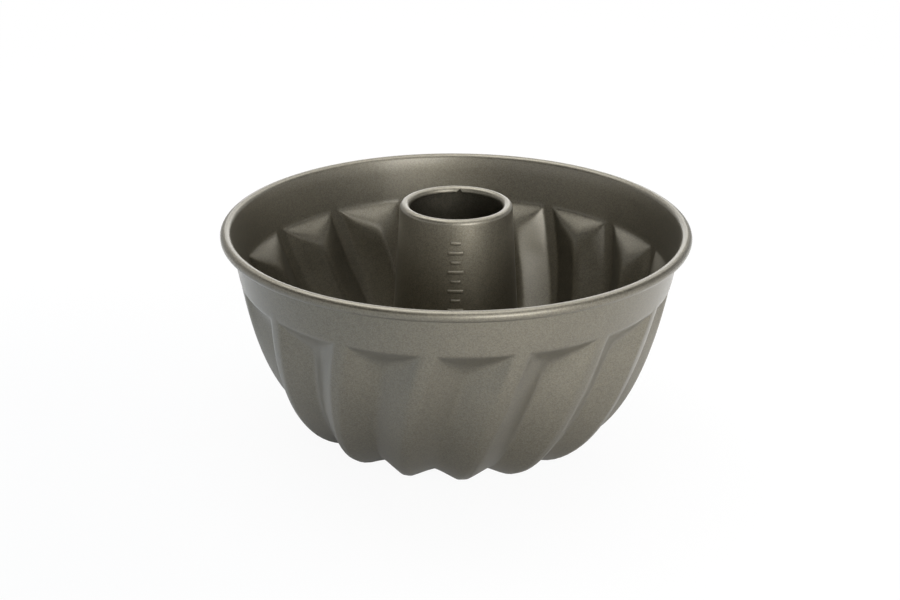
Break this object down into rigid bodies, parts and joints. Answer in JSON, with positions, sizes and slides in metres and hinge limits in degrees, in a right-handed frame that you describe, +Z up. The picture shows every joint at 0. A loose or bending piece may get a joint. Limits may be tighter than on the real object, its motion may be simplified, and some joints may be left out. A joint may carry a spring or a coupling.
{
  "type": "gugelhupf pan",
  "caption": "Round ring-cake pan of coated sheet steel with swirled flutes, a plain band under its rolled rim and a tapered central chimney.",
  "frame": {"origin": "on the pan's axis, in the plane that its foot lands stand on", "axes": "+Z up along the pan's axis, -Y towards the viewer of the picture, +X to the right"},
  "size_m": [0.2398, 0.2398, 0.1254],
  "materials": {
    "coated_sheet": "satin metallic non-stick coating in warm grey-brown, with a fine grain",
    "wire_steel": "bright drawn wire, hidden in the rolled rim"
  },
  "bodies": {
    "root": {"fluted_bowl": "coated_sheet", "chimney": "coated_sheet", "rim_wire": "wire_steel"}
  },
  "joints": []
}
